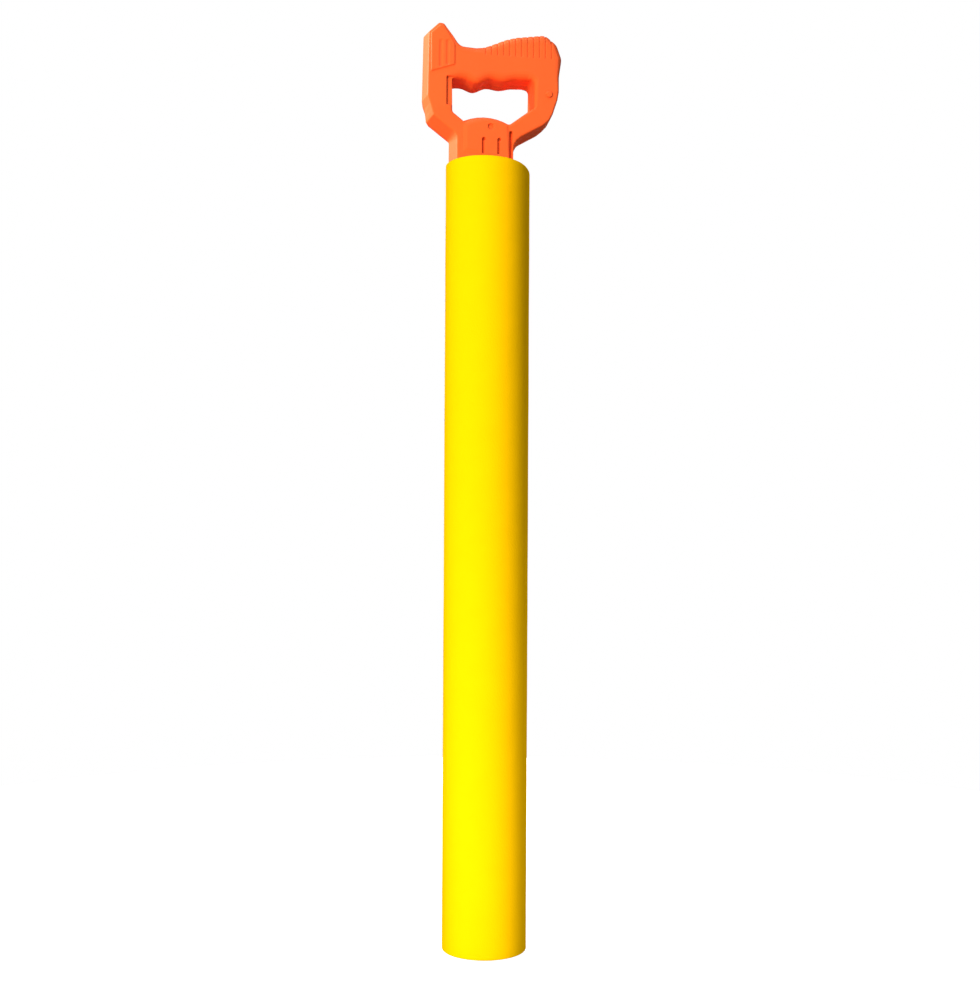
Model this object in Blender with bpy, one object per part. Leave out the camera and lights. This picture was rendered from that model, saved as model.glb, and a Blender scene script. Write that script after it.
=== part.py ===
"""Water squirter: a syringe-type water toy in a foam sleeve, with a moulded two-half D-handle.

Metres, +Z up the barrel's axis, origin at the centre of the foam's lower (nozzle) end.
The handle lies in the XZ plane, its horn towards -X and its screw heads towards +Y.
"""
import math

import bmesh
import bpy
from mathutils import Matrix, Vector
from mathutils.geometry import tessellate_polygon

# Clearances
SEAT_GAP = 0.0003        # between pieces that rest on, or sit in, each other
SLIDE_GAP = 0.0003       # between pieces that slide or turn in each other
STOP_GAP = 0.0008        # between piston and nozzle plug, plunger pushed in

# Foam sleeve and barrel
FOAM_LENGTH = 0.510
FOAM_WALL = 0.0097
FOAM_ROUNDING = 0.003
BARREL_BORE = 0.030
BARREL_WALL = 0.002

# Nozzle plug
NOZZLE_RECESS = 0.001    # plug face above the foam's end, so the foam takes the knocks
NOZZLE_FLANGE = 0.004
NOZZLE_STEM = 0.014
JET_BORE = 0.0045
JET_CONE = 0.016         # widest diameter of the funnel behind the jet
JET_COUNTERSINK = 0.0012
NOZZLE_SEAL_SECTION = 0.0024

# Rear collar
COLLAR_FLANGE = 0.005
COLLAR_SKIRT = 0.020
COLLAR_LEAD_IN = 0.001

# Plunger
ROD_DIAMETER = 0.020
ROD_WALL = 0.0015
PISTON_LENGTH = 0.022
PISTON_CLEARANCE = 0.0005
PISTON_CHAMFER = 0.001
PISTON_STEM = 0.020
RING_SECTION = 0.0032
RING_SPACING = 0.0095
PIN_DIAMETER = 0.004

# Handle, measured from its base plane just above the foam; its outline is widest at the split
HANDLE_THICKNESS = 0.026
HANDLE_WALL = 0.0024
SIDE_LEAN = 0.18         # how far the outside leans in, per length away from the split
NECK_LEAN = 0.30         # the same for the facets under the left strut and down the neck's left
ELBOW_LEAN = 0.05        # and for the right strut's elbow
CAVITY_EASE = 0.35       # extra wall inside a rounded edge, as a share of the rounding
SPLIT_GAP = 0.0003       # between the two moulded halves
POST_LEFT = -0.0437      # outer face of the left post
POST_RIGHT = 0.0465
GRIP_END = 0.0496        # bulge at the grip's right end
HORN_TIP = 0.0912
HORN_PEAK_LEFT = -0.0350
HORN_PEAK_RIGHT = -0.0300
HORN_PEAK_FALL = 0.0006  # the peak's right end lies this much lower
HORN_SHOULDER = 0.0080   # left shoulder below the tip
HORN_ROOT = -0.0228      # lower end of the horn's right flank
HORN_ROOT_SHARE = 0.34   # its height, as a share of the way from waist to tip
WAIST_HEIGHT = 0.0764    # top of the grip beside the horn
CROWN_HEIGHT = 0.0881    # top of the grip at its right end
CROWN_SETBACK = 0.0126   # right end of the crown, inside the grip's end
ELBOW_SETBACK = 0.0062   # right strut's elbow, inside the right post's face
ELBOW_HEIGHT = 0.0276
FOOT_SPARE = 0.008       # moulded below the base plane, then cut off flat
NECK_LEFT = -0.0262
NECK_RIGHT = 0.0171
OPENING_LEFT = -0.0253
OPENING_RIGHT = 0.0292
OPENING_TOP_LEFT = 0.0533
OPENING_TOP_RIGHT = 0.0559
OPENING_FLOOR = 0.0248
OPENING_SILL_LEFT = 0.0062   # where the opening's slanted sills meet its sides, above its floor
OPENING_SILL_RIGHT = 0.0123

# Socket block that holds the rod
SOCKET_LEFT = -0.0215
SOCKET_RIGHT = 0.0126
SOCKET_THICKNESS = 0.0272
SOCKET_TOP = 0.0288
SOCKET_CROWN = 0.0044    # rise of its arched top
SOCKET_ROUNDING = 0.0028
SOCKET_LEFT_ROUNDING = 0.0060    # the left edge fades into the strut
SOCKET_FOOT = 0.0012     # block's lower end, above the base plane
SOCKET_DEPTH = 0.0180    # rod end above the base plane
SOCKET_STEP_WIDTH = 0.0019   # cut that sets the right strut back beside the block
SOCKET_STEP_DEPTH = 0.0021
SPIGOT_DIAMETER = 0.0265
SPIGOT_LENGTH = 0.0085
SPIGOT_ROOT = 0.0018     # how far the spigot runs up into the neck's floor
ROD_PIN_HEIGHT = 0.010
PIN_COVER = 0.0025       # moulded wall left over each end of the rod pin
WINDOW_SPREAD = 0.0102   # between the two upright slots in the socket's face
WINDOW_WIDTH = 0.0015
WINDOW_EYE = 0.0024      # diameter of the round end on top of each slot
WINDOW_EYE_SHIFT = 0.0005    # how far it lies off the slot's middle
WINDOW_LOW = 0.0042
WINDOW_HIGH = 0.0138
WINDOW_DEPTH = 0.0012
WINDOW_EYE_DEPTH = 0.0014

# Screws
SCREW_PLACES = {
    "socket_screw": (0.0, 0.0222),
    "right_post_screw": (0.0388, 0.0460),
    "left_post_screw": (-0.0328, 0.0320),
}
SCREW_SHANK = 0.0024
SCREW_HEAD = 0.0042
SCREW_HEAD_HEIGHT = 0.0018
SCREW_REACH = 0.009      # shank length in the front half
SCREW_SEAT = 0.0035      # plastic between the screw head and the split
BOSS_DIAMETER = 0.0085
DIMPLE_DIAMETER = 0.0040     # shallow mark on the front over the socket screw's blind end
DIMPLE_DEPTH = 0.0009
PIP_DIAMETER = 0.0040        # raised mark over the right post's
PIP_RISE = 0.0009

# Surface forms of the grip and horn
FINGER_LOBES = ((-0.0088, 0.0092, 0.0030), (0.0090, 0.0085, 0.0013))     # middle, half width, depth
LOBE_MARGIN = 0.0045     # plain ends of the opening's top
GROOVE_COUNT = 12
GROOVE_FIRST = -0.0035
GROOVE_PITCH = 0.0040
GROOVE_WIDTH = 0.0010
GROOVE_DEPTH = 0.0004
GROOVE_FOOT = 0.0697
PAD_RISE = 0.0007        # raised field on the horn's face
PAD_ROUNDING = 0.0005
PAD_LEFT_MARGIN = 0.0042     # inside the left post's outer face
PAD_RIGHT_MARGIN = 0.0012    # inside the horn's root
PAD_LOW_LEFT = 0.0564
PAD_LOW_RIGHT = 0.0617
PAD_TOP_MARGIN = 0.0042      # below the horn's tip
PAD_PEAK_MARGIN = 0.0014     # inside the ends of the horn's peak
PAD_SHOULDER_MARGIN = 0.0016
PAD_FLANK_LEAN = 0.0028      # the right edge leans left between two drops below the tip
PAD_FLANK_HIGH = 0.0112
PAD_FLANK_LOW = 0.0162
FLUTES = (-0.0332, -0.0287)
FLUTE_MARGIN = 0.0011        # above the field's slanted lower edge
FLUTE_RADIUS = 0.0022
FLUTE_DEPTH = 0.0005
FLUTE_HIGH = 0.0775
LEDGE_WIDTH = 0.0040     # step along the left post's inner edge
LEDGE_DEPTH = 0.0016
LEDGE_LOW = 0.0352
LEDGE_HIGH = 0.0541

# Facet counts
ROUND_SEGMENTS = 40
RING_SIDES = 8
SMALL_SEGMENTS = 16
ROUNDING_STEPS = 4
ARC_STEP = math.radians(20)
LEAST_RADIUS = 0.0003    # smallest corner radius left where an outline is inset
LOBE_STEPS = 18
ARCH_STEPS = 8
OUTLINE_SPACING = 0.008
PAST = 0.001             # how far a shell or cutter runs past the face where it is cut
JOIN_PAST = 0.002        # the same for what is joined to a shell
CUT_PAST = 0.003         # and for the holes cut through both
SMOOTH_ANGLE = math.radians(32)

# Sizes that follow from the driving dimensions
BARREL_RADIUS = BARREL_BORE / 2 + BARREL_WALL
FOAM_BORE_RADIUS = BARREL_RADIUS + SEAT_GAP
FOAM_RADIUS = FOAM_BORE_RADIUS + FOAM_WALL
ROD_RADIUS = ROD_DIAMETER / 2
ROD_BORE_RADIUS = ROD_RADIUS - ROD_WALL
PIN_RADIUS = PIN_DIAMETER / 2
SOCKET_RADIUS = ROD_RADIUS + SEAT_GAP
HANDLE_BASE = FOAM_LENGTH + SEAT_GAP
COLLAR_TOP = HANDLE_BASE - SPIGOT_LENGTH - SEAT_GAP
BARREL_TOP = COLLAR_TOP - COLLAR_FLANGE - SEAT_GAP
BARREL_FOOT = NOZZLE_RECESS + NOZZLE_FLANGE + SEAT_GAP
PLUG_TOP = NOZZLE_RECESS + NOZZLE_FLANGE + NOZZLE_STEM
PISTON_FOOT = PLUG_TOP + STOP_GAP
ROD_FOOT = PISTON_FOOT + PISTON_LENGTH + SEAT_GAP
ROD_TOP = HANDLE_BASE + SOCKET_DEPTH
HALF_THICKNESS = HANDLE_THICKNESS / 2
SOCKET_HALF = SOCKET_THICKNESS / 2
PAD_LEFT = POST_LEFT + PAD_LEFT_MARGIN
PAD_RIGHT = HORN_ROOT - PAD_RIGHT_MARGIN
CUT_REACH = HORN_TIP * 2     # size of the blocks that cut a whole side away


def clear_scene():
    for existing in list(bpy.data.objects):
        bpy.data.objects.remove(existing, do_unlink=True)


def plain_material(name, colour, roughness, metallic=0.0):
    material = bpy.data.materials.new(name)
    material.use_nodes = True
    shader = material.node_tree.nodes["Principled BSDF"]
    shader.inputs["Base Color"].default_value = (*colour, 1.0)
    shader.inputs["Roughness"].default_value = roughness
    shader.inputs["Metallic"].default_value = metallic
    return material


def empty(name, parent=None):
    holder = bpy.data.objects.new(name, None)
    holder.empty_display_size = BARREL_BORE
    bpy.context.collection.objects.link(holder)
    holder.parent = parent
    return holder


def object_from(bm, name, parent=None, place=(0, 0, 0), material=None):
    bmesh.ops.recalc_face_normals(bm, faces=bm.faces)
    mesh = bpy.data.meshes.new(name)
    bm.to_mesh(mesh)
    bm.free()
    piece = bpy.data.objects.new(name, mesh)
    bpy.context.collection.objects.link(piece)
    piece.parent = parent
    piece.location = place
    if material:
        mesh.materials.append(material)
    return piece


def shade(piece):
    piece.data.shade_smooth()
    piece.data.set_sharp_from_angle(angle=SMOOTH_ANGLE)


def boolean(piece, tool, operation):
    """Apply one exact Boolean to a piece and use up the tool."""
    modifier = piece.modifiers.new(operation.lower(), "BOOLEAN")
    modifier.operation = operation
    modifier.solver = "EXACT"
    modifier.object = tool
    evaluated = piece.evaluated_get(bpy.context.evaluated_depsgraph_get())
    result = bpy.data.meshes.new_from_object(evaluated)
    piece.modifiers.clear()
    piece.data = result
    bpy.data.objects.remove(tool, do_unlink=True)


# Turned pieces

def turned_mesh(profile, segments):
    """Spin a profile of (radius, height) points round Z; it closes on itself unless it ends on the axis."""
    bm = bmesh.new()
    verts = [bm.verts.new((radius, 0, height)) for radius, height in profile]
    pairs = list(zip(verts, verts[1:]))
    if profile[0][0] > 0:
        pairs.append((verts[-1], verts[0]))
    edges = [bm.edges.new(pair) for pair in pairs]
    bmesh.ops.spin(bm, geom=verts + edges, axis=(0, 0, 1), angle=math.tau, steps=segments, use_merge=True)
    bmesh.ops.remove_doubles(bm, verts=bm.verts, dist=1e-6)
    return bm


def turned(name, profile, parent, height, material, segments=ROUND_SEGMENTS):
    piece = object_from(turned_mesh(profile, segments), name, parent, (0, 0, height), material)
    shade(piece)
    return piece


def rounded_edge(radius, height, rounding, start):
    """Points of a quarter round that ends or starts on a turned piece's outer wall."""
    centre_radius = radius - rounding
    points = []
    for step in range(ROUNDING_STEPS + 1):
        angle = start + math.pi / 2 * step / ROUNDING_STEPS
        points.append((centre_radius + rounding * math.cos(angle), height + rounding * math.sin(angle)))
    return points


def foam_sleeve(parent, material):
    upper = rounded_edge(FOAM_RADIUS, FOAM_LENGTH - FOAM_ROUNDING, FOAM_ROUNDING, 0)
    lower = rounded_edge(FOAM_RADIUS, FOAM_ROUNDING, FOAM_ROUNDING, -math.pi / 2)
    profile = lower + upper + [(FOAM_BORE_RADIUS, FOAM_LENGTH), (FOAM_BORE_RADIUS, 0)]
    turned("foam_sleeve", profile, parent, 0, material)


def barrel_tube(parent, material):
    length = BARREL_TOP - BARREL_FOOT
    bore = BARREL_BORE / 2
    profile = [(BARREL_RADIUS, 0), (BARREL_RADIUS, length), (bore, length), (bore, 0)]
    turned("barrel_tube", profile, parent, BARREL_FOOT, material)


def ring(name, outer_radius, section, parent, height, material):
    """A round-section rubber ring whose outside reaches the given radius."""
    middle = outer_radius - section / 2
    profile = []
    for side in range(RING_SIDES):
        angle = math.tau * (side + 0.5) / RING_SIDES
        profile.append((middle + section / 2 * math.cos(angle), section / 2 * math.sin(angle)))
    turned(name, profile, parent, height, material)


def groove(wall_radius, outer_radius, section, middle):
    """Profile points of a ring groove cut into a wall, with the ring's clearance all round."""
    floor = outer_radius - section - SEAT_GAP
    half_width = section / 2 + SEAT_GAP
    return [
        (wall_radius, middle - half_width),
        (floor, middle - half_width),
        (floor, middle + half_width),
        (wall_radius, middle + half_width),
    ]


def nozzle(parent, plug_material, ring_material):
    stem_radius = BARREL_BORE / 2 - SEAT_GAP
    seal_height = NOZZLE_FLANGE + NOZZLE_STEM / 2
    height = NOZZLE_FLANGE + NOZZLE_STEM
    jet = JET_BORE / 2
    profile = [
        (jet + JET_COUNTERSINK, 0),
        (BARREL_RADIUS, 0),
        (BARREL_RADIUS, NOZZLE_FLANGE),
        (stem_radius, NOZZLE_FLANGE),
        *groove(stem_radius, stem_radius, NOZZLE_SEAL_SECTION, seal_height),
        (stem_radius, height),
        (JET_CONE / 2, height),
        (jet, NOZZLE_FLANGE),
        (jet, JET_COUNTERSINK),
    ]
    turned("nozzle_plug", profile, parent, NOZZLE_RECESS, plug_material)
    ring("nozzle_seal", stem_radius, NOZZLE_SEAL_SECTION, parent, NOZZLE_RECESS + seal_height, ring_material)


def rear_collar(parent, material):
    hole = ROD_RADIUS + SLIDE_GAP
    skirt_radius = BARREL_BORE / 2 - SEAT_GAP
    height = COLLAR_SKIRT + COLLAR_FLANGE
    profile = [
        (hole + COLLAR_LEAD_IN, 0),
        (skirt_radius, 0),
        (skirt_radius, COLLAR_SKIRT),
        (BARREL_RADIUS, COLLAR_SKIRT),
        (BARREL_RADIUS, height),
        (hole + COLLAR_LEAD_IN, height),
        (hole, height - COLLAR_LEAD_IN),
        (hole, COLLAR_LEAD_IN),
    ]
    turned("rear_collar", profile, parent, COLLAR_TOP - height, material)


def piston(plunger, seal, head_material, ring_material):
    radius = BARREL_BORE / 2 - PISTON_CLEARANCE
    ring_radius = BARREL_BORE / 2 - SLIDE_GAP
    heights = [PISTON_LENGTH / 2 - RING_SPACING / 2, PISTON_LENGTH / 2 + RING_SPACING / 2]
    grooves = []
    for middle in heights:
        grooves += groove(radius, ring_radius, RING_SECTION, middle)
    stem_radius = ROD_BORE_RADIUS - SEAT_GAP
    profile = [
        (0, 0),
        (radius - PISTON_CHAMFER, 0),
        (radius, PISTON_CHAMFER),
        *grooves,
        (radius, PISTON_LENGTH - PISTON_CHAMFER),
        (radius - PISTON_CHAMFER, PISTON_LENGTH),
        (stem_radius, PISTON_LENGTH),
        (stem_radius, PISTON_LENGTH + PISTON_STEM),
        (0, PISTON_LENGTH + PISTON_STEM),
    ]
    shape = turned_mesh(profile, ROUND_SEGMENTS)
    head = object_from(shape, "piston_head", plunger, (0, 0, PISTON_FOOT), head_material)
    boolean(head, cross_bore(PISTON_FOOT + PISTON_LENGTH + PISTON_STEM / 2), "DIFFERENCE")
    shade(head)
    for name, middle in zip(("piston_ring_front", "piston_ring_rear"), heights):
        ring(name, ring_radius, RING_SECTION, seal, PISTON_FOOT + middle, ring_material)


# Rod and cross pins

def bar_along_y(radius, low, high, x, height, segments=SMALL_SEGMENTS):
    """A plain round bar along Y, for pins, screw shanks and the holes they go in."""
    bm = bmesh.new()
    turn = Matrix.Rotation(math.pi / 2, 4, "X")
    place = Matrix.Translation((x, (low + high) / 2, height)) @ turn
    bmesh.ops.create_cone(
        bm, cap_ends=True, segments=segments, radius1=radius, radius2=radius, depth=high - low, matrix=place)
    return bm


def cross_bore(height):
    reach = ROD_DIAMETER
    return object_from(bar_along_y(PIN_RADIUS + SEAT_GAP, -reach, reach, 0, height), "cross_bore")


def cross_pin(name, half_length, height, parent, material):
    bm = bar_along_y(PIN_RADIUS, -half_length, half_length, 0, 0)
    pin = object_from(bm, name, parent, (0, 0, height), material)
    shade(pin)


def plunger_rod(parent, material, pin_heights):
    length = ROD_TOP - ROD_FOOT
    profile = [(ROD_RADIUS, 0), (ROD_RADIUS, length), (ROD_BORE_RADIUS, length), (ROD_BORE_RADIUS, 0)]
    rod = object_from(turned_mesh(profile, ROUND_SEGMENTS), "plunger_rod", parent, (0, 0, ROD_FOOT), material)
    for height in pin_heights:
        boolean(rod, cross_bore(height), "DIFFERENCE")
    shade(rod)


# Outlines of the moulded halves: rows of x, z, corner radius, edge rounding and lean

def handle_corners():
    """The handle's outside at the split, counter-clockwise from the neck's foot, which is cut flat later."""
    fine, strut, grip = 0.0012, 0.0016, 0.0050
    neck = [
        (NECK_RIGHT, -FOOT_SPARE, 0, strut),
        (NECK_RIGHT + 0.0002, 0.0127, 0.0090, strut),
    ]
    elbow = [
        (POST_RIGHT - ELBOW_SETBACK, ELBOW_HEIGHT, 0.0150, strut),
        (POST_RIGHT - 0.0004, 0.0455, 0.0200, strut),
    ]
    grip_and_horn = [
        (POST_RIGHT + 0.0012, 0.0590, 0.0120, 0.0030),
        (GRIP_END, 0.0708, 0.0080, grip),
        (GRIP_END - 0.0038, 0.0813, 0.0080, grip),
        (GRIP_END - CROWN_SETBACK, CROWN_HEIGHT, 0.0080, grip),
        (0.0130, CROWN_HEIGHT - 0.0036, 0.0300, grip),
        (-0.0055, WAIST_HEIGHT, 0.0200, grip),
        (-0.0190, WAIST_HEIGHT, 0.0045, 0.0030),
        (HORN_ROOT, WAIST_HEIGHT + HORN_ROOT_SHARE * (HORN_TIP - WAIST_HEIGHT), 0.0042, fine),
        (HORN_PEAK_RIGHT, HORN_TIP - HORN_PEAK_FALL, 0.0042, fine),
        (HORN_PEAK_LEFT, HORN_TIP, 0.0042, fine),
        (POST_LEFT + 0.0004, HORN_TIP - HORN_SHOULDER, 0.0014, fine),
        (POST_LEFT - 0.0004, 0.0400, 0.0015, fine),
        (POST_LEFT + 0.0013, 0.0352, 0.0015, fine),
    ]
    facets = [
        (POST_LEFT + 0.0022, 0.0260, 0.0022, fine),
        (NECK_LEFT, 0.0146, 0.0025, fine),
        (NECK_LEFT, -FOOT_SPARE, 0, fine),
    ]
    runs = ((neck, SIDE_LEAN), (elbow, ELBOW_LEAN), (grip_and_horn, SIDE_LEAN), (facets, NECK_LEAN))
    return [(*row, lean) for rows, lean in runs for row in rows]


def lobe_height(x):
    """Height of the opening's top, with the finger lobes hanging from its slanted line."""
    share = (x - OPENING_LEFT) / (OPENING_RIGHT - OPENING_LEFT)
    height = OPENING_TOP_LEFT + (OPENING_TOP_RIGHT - OPENING_TOP_LEFT) * share
    for middle, half_width, depth in FINGER_LOBES:
        reach = min(1, abs(x - middle) / half_width)
        height -= depth * (1 + math.cos(math.pi * reach)) / 2
    return height


def opening_corners():
    """The hand opening, clockwise from its upper left corner."""
    strut, grip, upright = 0.0016, 0.0045, 0.0030
    first = OPENING_LEFT + LOBE_MARGIN
    run = OPENING_RIGHT - LOBE_MARGIN - first
    top = [first + run * step / LOBE_STEPS for step in range(LOBE_STEPS + 1)]
    return [
        (OPENING_LEFT, OPENING_TOP_LEFT, 0.0015, upright, 0),
        *((x, lobe_height(x), 0, grip, 0) for x in top),
        (OPENING_RIGHT, OPENING_TOP_RIGHT, 0.0030, upright, 0),
        (OPENING_RIGHT, OPENING_FLOOR + OPENING_SILL_RIGHT, 0.0020, strut, 0),
        (SOCKET_RIGHT + 0.0003, OPENING_FLOOR, 0.0020, strut, 0),
        (SOCKET_LEFT + 0.0039, OPENING_FLOOR + 0.0003, 0.0020, strut, 0),
        (OPENING_LEFT, OPENING_FLOOR + OPENING_SILL_LEFT, 0.0025, strut, 0),
    ]


def socket_corners():
    """The socket block's face, counter-clockwise, its arched top as one large arc."""
    half = (SOCKET_RIGHT - SOCKET_LEFT) / 2
    middle = (SOCKET_RIGHT + SOCKET_LEFT) / 2
    corners = [
        (SOCKET_LEFT, SOCKET_FOOT, 0, SOCKET_LEFT_ROUNDING, 0),
        (SOCKET_RIGHT, SOCKET_FOOT, 0, SOCKET_ROUNDING / 2, 0),
    ]
    arch_radius = (half ** 2 + SOCKET_CROWN ** 2) / (2 * SOCKET_CROWN)
    reach = math.asin(half / arch_radius)
    for step in range(ARCH_STEPS + 1):
        share = step / ARCH_STEPS
        angle = reach - 2 * reach * share
        height = SOCKET_TOP - arch_radius * (1 - math.cos(angle))
        rounding = SOCKET_ROUNDING + (SOCKET_LEFT_ROUNDING - SOCKET_ROUNDING) * share ** 2
        corners.append((middle + arch_radius * math.sin(angle), height, 0, rounding, 0))
    return corners


def pad_edge(x):
    """Height of the raised field's slanted lower edge."""
    share = (x - PAD_LEFT) / (PAD_RIGHT - PAD_LEFT)
    return PAD_LOW_LEFT + (PAD_LOW_RIGHT - PAD_LOW_LEFT) * share


def pad_corners():
    """The raised field on the horn, counter-clockwise from its lower left corner."""
    places = [
        (PAD_LEFT, pad_edge(PAD_LEFT)),
        (PAD_RIGHT, pad_edge(PAD_RIGHT)),
        (PAD_RIGHT, HORN_TIP - PAD_FLANK_LOW),
        (PAD_RIGHT - PAD_FLANK_LEAN, HORN_TIP - PAD_FLANK_HIGH),
        (HORN_PEAK_RIGHT - PAD_PEAK_MARGIN, HORN_TIP - PAD_TOP_MARGIN),
        (HORN_PEAK_LEFT + PAD_PEAK_MARGIN, HORN_TIP - PAD_TOP_MARGIN),
        (PAD_LEFT, HORN_TIP - HORN_SHOULDER - PAD_SHOULDER_MARGIN),
    ]
    return [(*place, 0, PAD_ROUNDING, 0) for place in places]


def inset_corners(corners, distances):
    """Move each corner into the material on its left, and change its radius to keep the arcs parallel."""
    moved = []
    count = len(corners)
    for index, (x, z, radius, edge, lean) in enumerate(corners):
        here = Vector((x, z))
        before = (here - Vector(corners[index - 1][:2])).normalized()
        after = (Vector(corners[(index + 1) % count][:2]) - here).normalized()
        normal = Vector((-before.y - after.y, before.x + after.x)).normalized()
        mitre = max(0.5, normal.dot(Vector((-before.y, before.x))))
        place = here + normal * distances[index] / mitre
        turn = math.copysign(distances[index], before.cross(after))
        moved.append((*place, max(radius - turn, LEAST_RADIUS) if radius else 0, edge, lean))
    return moved


def arc_points(corners, index, steps):
    """The tangent arc that replaces one corner, or the corner itself if it has no radius."""
    x, z, radius = corners[index][:3]
    here = Vector((x, z))
    if radius == 0:
        return [here]
    before = Vector(corners[index - 1][:2]) - here
    after = Vector(corners[(index + 1) % len(corners)][:2]) - here
    half_angle = before.angle(after) / 2
    start = before.normalized() * radius / math.tan(half_angle)
    centre = (before.normalized() + after.normalized()).normalized() * radius / math.sin(half_angle)
    sweep = math.copysign(math.pi - 2 * half_angle, after.cross(before))
    points = []
    for step in range(steps + 1):
        spoke = start - centre
        spoke.rotate(Matrix.Rotation(sweep * step / steps, 2))
        points.append(here + centre + spoke)
    return points


def arc_steps(corners, index):
    """How many facets an arc needs for the angle that its corner turns."""
    here = Vector(corners[index][:2])
    before = here - Vector(corners[index - 1][:2])
    after = Vector(corners[(index + 1) % len(corners)][:2]) - here
    return max(1, math.ceil(before.angle(after) / ARC_STEP))


def rings_of(corners, distance_lists):
    """Outlines at several insets, all with the same number of points, and the edge rounding of each point."""
    steps = [arc_steps(corners, index) for index in range(len(corners))]
    levels = []
    for distances in distance_lists:
        moved = inset_corners(corners, distances)
        levels.append([arc_points(moved, index, steps[index]) for index in range(len(corners))])
    rounded = [[p for arc in level for p in arc] for level in levels]
    edges = [row[3] for row, arc in zip(corners, levels[0]) for _ in arc]
    runs = zip(rounded[0], rounded[0][1:] + rounded[0][:1])
    parts = [max(1, math.ceil((end - start).length / OUTLINE_SPACING)) for start, end in runs]
    return [split_runs(points, parts) for points in rounded], split_runs(edges, parts)


def split_runs(values, parts):
    """Add evenly blended values between neighbours, as many to each run as parts says."""
    fine = []
    for start, end, count in zip(values, values[1:] + values[:1], parts):
        for part in range(count):
            fine.append(start + (end - start) * (part / count))
    return fine


# Half shells

def loop_rings(corners, half, side, past):
    """Rings of 3-D points up one outline's wall and round its edge, from past the split to the face."""
    angles = [math.pi / 2 * step / ROUNDING_STEPS for step in range(ROUNDING_STEPS + 1)]
    insets = [[0] * len(corners)]
    for angle in angles:
        insets.append([
            lean * (half - edge) + edge * (1 - math.cos(angle)) for *_, edge, lean in corners])
    outlines, edges = rings_of(corners, insets)
    rings = [[Vector((p.x, -side * past, p.y)) for p in outlines[0]]]
    for angle, outline in zip(angles, outlines[1:]):
        depths = [side * (half - edge * (1 - math.sin(angle))) for edge in edges]
        rings.append([Vector((p.x, y, p.y)) for p, y in zip(outline, depths)])
    return rings


def cavity_rings(corners, half, side, past):
    """Two rings of the straight-walled hollow inside a half shell: past the split, and on its floor."""
    depth = half - HANDLE_WALL
    walls = inset_corners(
        corners, [HANDLE_WALL + lean * depth + CAVITY_EASE * edge for *_, edge, lean in corners])
    outline = [(row[0], max(row[1], HANDLE_WALL)) for row in walls]
    return [[Vector((x, y, z)) for x, z in outline] for y in (-side * past, side * depth)]


def add_strip(bm, lower, upper):
    count = len(lower)
    for index in range(count):
        after = (index + 1) % count
        bm.faces.new((lower[index], lower[after], upper[after], upper[index]))


def add_cap(bm, loops):
    """Fill a flat face between one outline and the outlines inside it."""
    verts = [vert for loop in loops for vert in loop]
    for triangle in tessellate_polygon([[vert.co for vert in loop] for loop in loops]):
        bm.faces.new([verts[index] for index in triangle])


def half_solid(outlines, half, side, past, hollow=False):
    """A half moulding on one side of the split, from its outside and its openings, solid or hollow."""
    bm = bmesh.new()
    faces, rims, floors = [], [], []
    for corners in outlines:
        rings = [[bm.verts.new(p) for p in ring] for ring in loop_rings(corners, half, side, past)]
        for lower, upper in zip(rings, rings[1:]):
            add_strip(bm, lower, upper)
        faces.append(rings[-1])
        rims.append(rings[0])
        if hollow:
            rings = cavity_rings(corners, half, side, past)
            mouth, floor = [[bm.verts.new(p) for p in ring] for ring in rings]
            add_strip(bm, mouth, floor)
            add_cap(bm, [rims[-1], mouth])
            floors.append(floor)
    add_cap(bm, faces)
    add_cap(bm, floors or rims)
    return bm


def add_block(bm, low, high):
    size = Vector(high) - Vector(low)
    middle = (Vector(high) + Vector(low)) / 2
    bmesh.ops.create_cube(bm, size=1, matrix=Matrix.Translation(middle) @ Matrix.Diagonal((*size, 1)))


def block(low, high):
    bm = bmesh.new()
    add_block(bm, low, high)
    return object_from(bm, "block")


def other_side(side, past):
    """A block that covers all that lies beyond the split, seen from one half."""
    low, high = sorted((-side * past, -side * CUT_REACH))
    return block((-CUT_REACH, low, -CUT_REACH), (CUT_REACH, high, CUT_REACH))


def bar_between(radius, start, end, side, place, segments=SMALL_SEGMENTS):
    """A bar along Y on one side of the split, as an object to join or cut with."""
    low, high = sorted((side * start, side * end))
    return object_from(bar_along_y(radius, low, high, *place, segments), "bar")


def grip_grooves(half, side):
    """Cut the row of grip grooves, equally deep on the face, round the edge and on top."""
    corners = [
        (x, z, radius, max(edge - GROOVE_DEPTH, LEAST_RADIUS), lean) for x, z, radius, edge, lean in
        inset_corners(handle_corners(), [GROOVE_DEPTH] * len(handle_corners()))]
    bm = bmesh.new()
    low, high = sorted((-side * PAST / 2, side * (HALF_THICKNESS + PAST)))
    for index in range(GROOVE_COUNT):
        x = GROOVE_FIRST + GROOVE_PITCH * index
        add_block(bm, (x - GROOVE_WIDTH / 2, low, GROOVE_FOOT), (x + GROOVE_WIDTH / 2, high, HORN_TIP))
    slabs = object_from(bm, "slabs")
    core = half_solid([corners], HALF_THICKNESS - GROOVE_DEPTH, side, CUT_PAST)
    boolean(slabs, object_from(core, "core"), "DIFFERENCE")
    boolean(half, slabs, "DIFFERENCE")


def face_cut(half, side, low, high, depth, face):
    """Sink a rectangular recess of one depth into a half's face."""
    near, far = sorted((side * (face - depth), side * (face + JOIN_PAST)))
    boolean(half, block((low[0], near, low[1]), (high[0], far, high[1])), "DIFFERENCE")


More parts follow.
